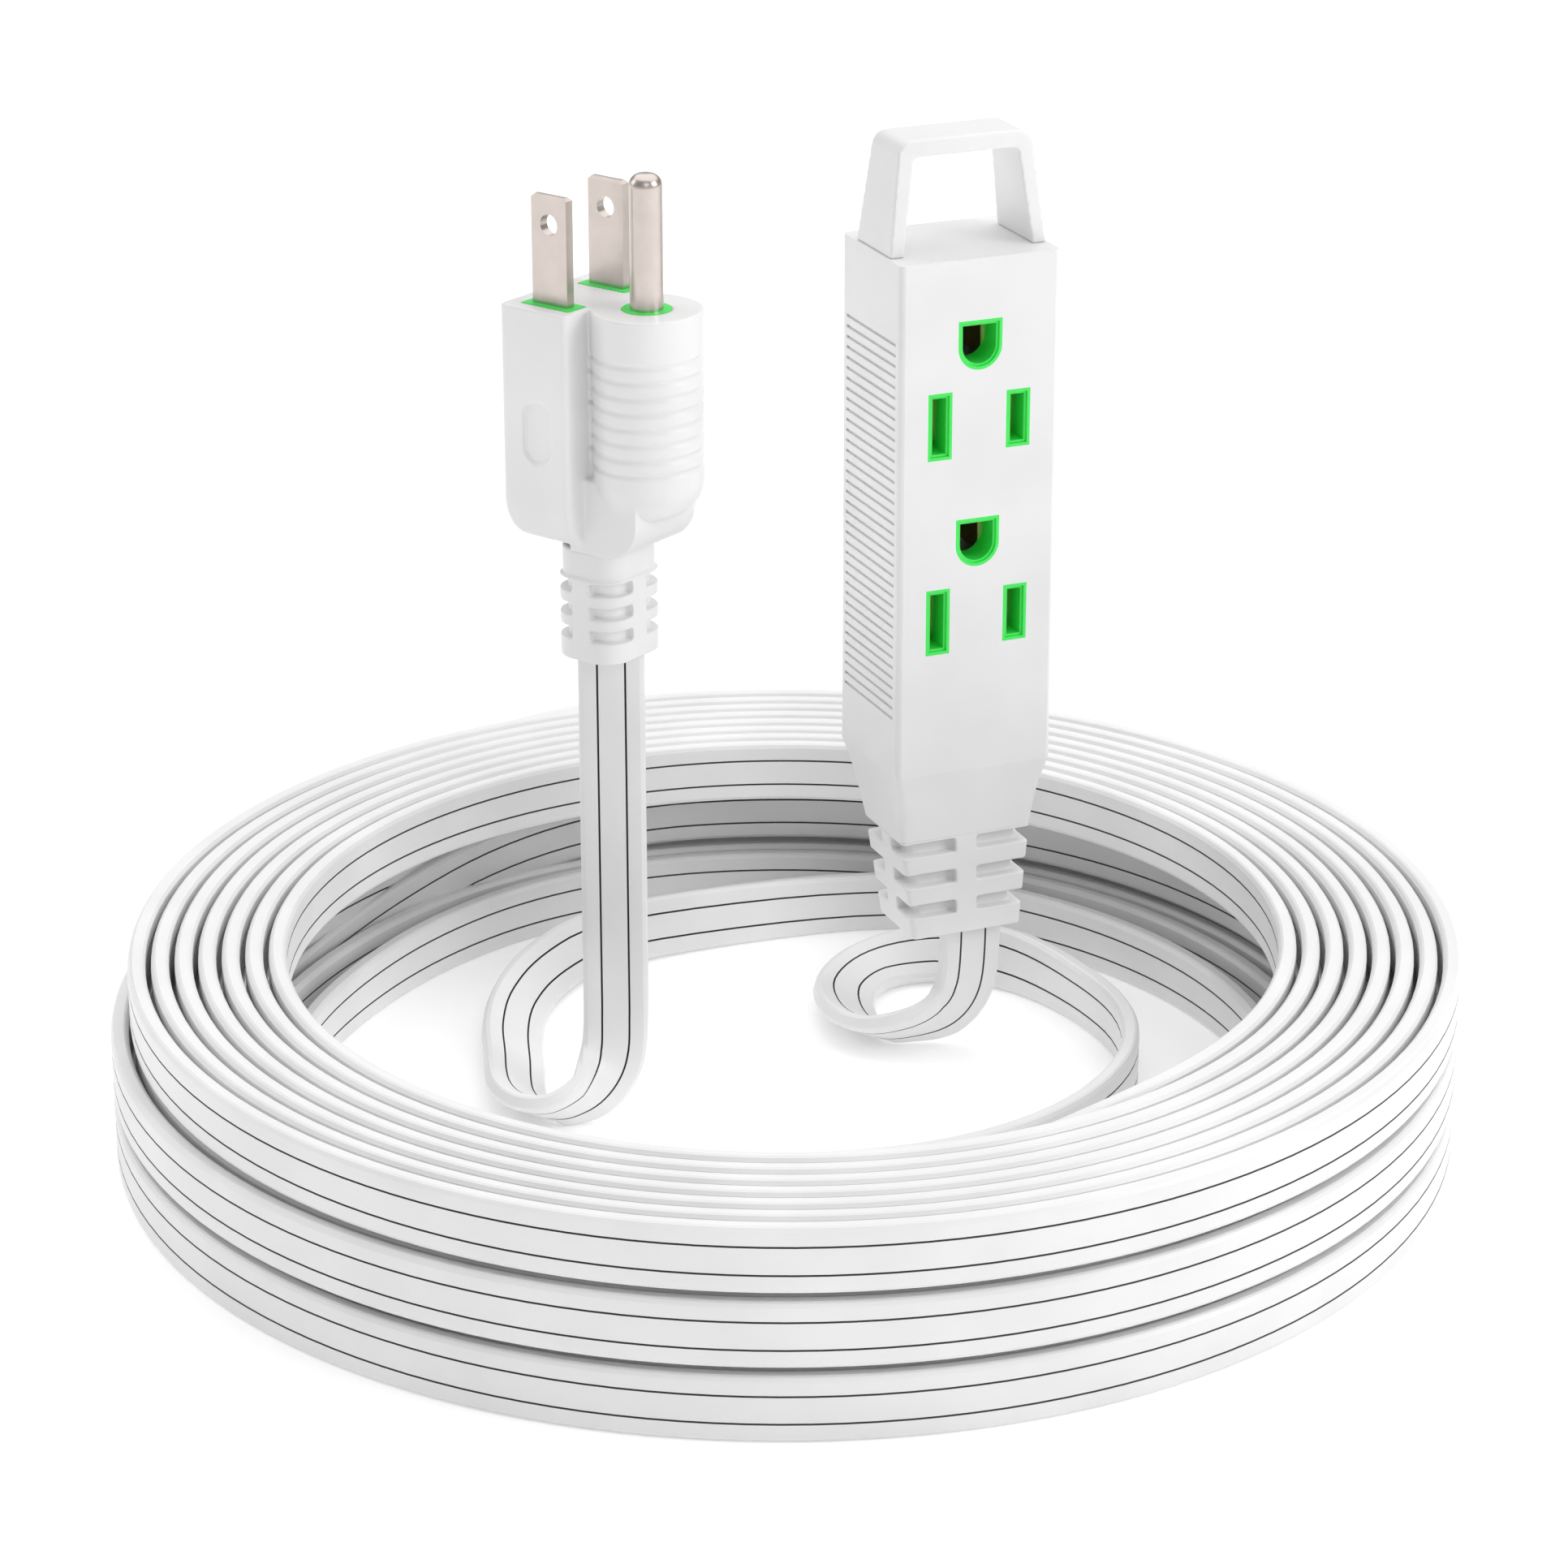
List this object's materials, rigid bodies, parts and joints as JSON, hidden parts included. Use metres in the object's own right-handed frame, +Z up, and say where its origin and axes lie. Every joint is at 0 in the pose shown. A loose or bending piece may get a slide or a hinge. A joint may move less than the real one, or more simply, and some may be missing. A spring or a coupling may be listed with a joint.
{
  "type": "extension cord",
  "caption": "Flat three-conductor extension cord in a standing round coil, with a grounded plug and a handled outlet block held upright inside it.",
  "frame": {"origin": "centre of the wound coil, on the surface that the coil stands on", "axes": "+Z up along the coil's axis; the outlet block's socket face looks along -Y and its width runs along X"},
  "size_m": [0.201, 0.201, 0.1471],
  "materials": {
    "white_shell": "satin moulded plastic",
    "white_soft": "satin moulded PVC",
    "cord_jacket": "satin extruded PVC jacket",
    "green_plastic": "glossy moulded plastic",
    "contact_brass": "stamped strip",
    "prong_nickel": "nickel plated",
    "wire_white": "insulation",
    "wire_green": "insulation",
    "wire_black": "insulation"
  },
  "bodies": {
    "root": {"front_cover": "white_shell", "rear_cover": "white_shell", "hang_handle": "white_shell", "plug_body": "white_soft", "plug_strain_relief": "white_soft", "block_strain_relief": "white_soft", "socket_frame": "green_plastic", "plug_core": "green_plastic", "neutral_bus": "contact_brass", "line_bus": "contact_brass", "ground_bus": "contact_brass", "block_crimps": "contact_brass", "plug_crimps": "contact_brass", "plug_neutral_blade": "prong_nickel", "plug_line_blade": "prong_nickel", "plug_ground_pin": "prong_nickel", "block_neutral_wire": "wire_white", "block_ground_wire": "wire_green", "block_line_wire": "wire_black", "plug_neutral_wire": "wire_white", "plug_ground_wire": "wire_green", "plug_line_wire": "wire_black", "cord_coil": "cord_jacket", "cord_plug_lead": "cord_jacket", "cord_block_lead": "cord_jacket"}
  },
  "joints": []
}
